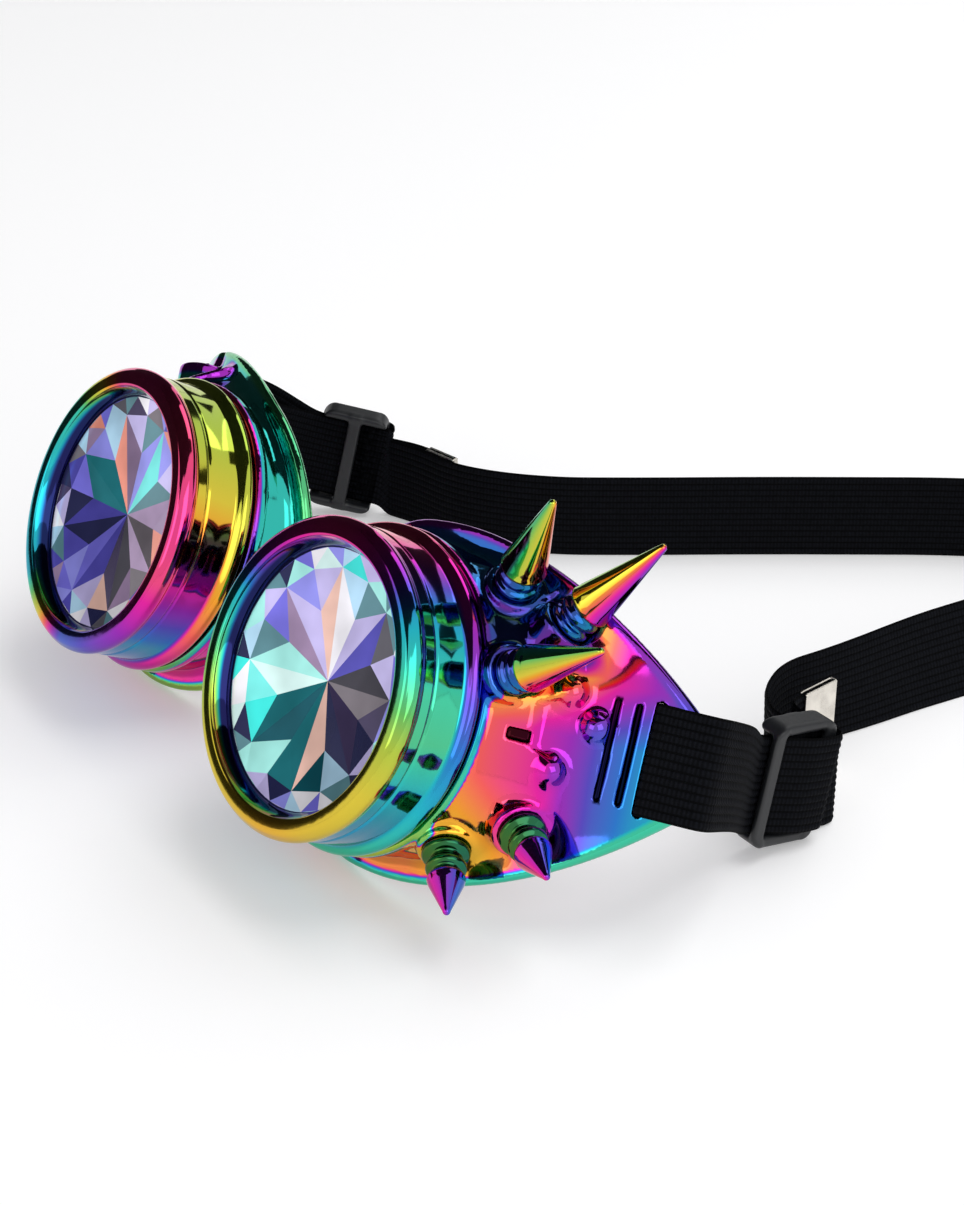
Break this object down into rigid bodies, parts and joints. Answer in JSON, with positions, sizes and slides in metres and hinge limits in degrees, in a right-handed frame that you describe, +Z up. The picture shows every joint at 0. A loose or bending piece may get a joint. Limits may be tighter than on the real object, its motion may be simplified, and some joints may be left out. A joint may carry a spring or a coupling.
{
  "type": "steampunk goggles",
  "caption": "Goggles with two flared eye cups, screw-on rims over faceted crystal lenses, side spikes, an elastic nose bridge and an adjustable elastic head strap.",
  "frame": {"origin": "middle of the bounding box on the table under the goggles as they lie", "axes": "+X to the wearer's left, +Y from the lenses back along the strap, +Z up"},
  "size_m": [0.2072, 0.2653, 0.0818],
  "materials": {
    "plated_shell": "mirror-bright rainbow plating over moulded plastic",
    "plated_spike": "mirror-bright rainbow plating over moulded plastic",
    "crystal": "clear cut crystal, polished facets",
    "gasket": "matt black",
    "steel": "plain machine screws",
    "strap_elastic": "black woven elastic with lengthwise ribs",
    "bridge_elastic": "black flat elastic",
    "slider_plastic": "satin charcoal",
    "clip_metal": "thin bright sheet"
  },
  "bodies": {
    "frame": {"eye_cup_left": "plated_shell", "eye_cup_right": "plated_shell", "long_spike_upper": "plated_spike", "long_spike_middle": "plated_spike", "long_spike_lower": "plated_spike", "short_spike_front": "plated_spike", "short_spike_rear": "plated_spike", "spike_screws": "steel", "nose_bridge_band": "bridge_elastic", "strap_loop_left": "strap_elastic", "strap_loop_right": "strap_elastic", "strap_end_clip_left": "clip_metal", "strap_end_clip_right": "clip_metal", "strap_band": "strap_elastic"},
    "lens_left": {"kaleidoscope_lens_left": "crystal", "lens_gasket_left": "gasket"},
    "rim_left": {"lens_rim_left": "plated_shell"},
    "slider_left": {"slider_left": "slider_plastic", "strap_fold_left": "strap_elastic"},
    "lens_right": {"kaleidoscope_lens_right": "crystal", "lens_gasket_right": "gasket"},
    "rim_right": {"lens_rim_right": "plated_shell"},
    "slider_right": {"slider_right": "slider_plastic", "strap_fold_right": "strap_elastic"}
  },
  "joints": [
    {"name": "lens_left_lift", "type": "slide", "parent": "frame", "child": "lens_left", "axis": [0.0262, -0.8843, 0.4662], "range_m": [0, 0.006]},
    {"name": "rim_left_unscrew", "type": "hinge", "parent": "lens_left", "child": "rim_left", "pos_m": [0.042, -0.11687, 0.04241], "axis": [0.0262, -0.8843, 0.4662], "range_deg": [0, 720]},
    {"name": "slider_left_adjust", "type": "slide", "parent": "frame", "child": "slider_left", "axis": [0.0341, -0.9776, 0.2079], "range_m": [0, 0.006]},
    {"name": "lens_right_lift", "type": "slide", "parent": "frame", "child": "lens_right", "axis": [-0.0262, -0.8843, 0.4662], "range_m": [0, 0.006]},
    {"name": "rim_right_unscrew", "type": "hinge", "parent": "lens_right", "child": "rim_right", "pos_m": [-0.042, -0.11687, 0.04241], "axis": [-0.0262, -0.8843, 0.4662], "range_deg": [0, 720]},
    {"name": "slider_right_adjust", "type": "slide", "parent": "frame", "child": "slider_right", "axis": [-0.6156, -0.7602, 0.2079], "range_m": [0, 0.006]}
  ],
  "couplings": [
    {"joint": "lens_left_lift", "follows": "rim_left_unscrew", "m_per_rad": 0.00047746},
    {"joint": "lens_right_lift", "follows": "rim_right_unscrew", "m_per_rad": 0.00047746}
  ]
}
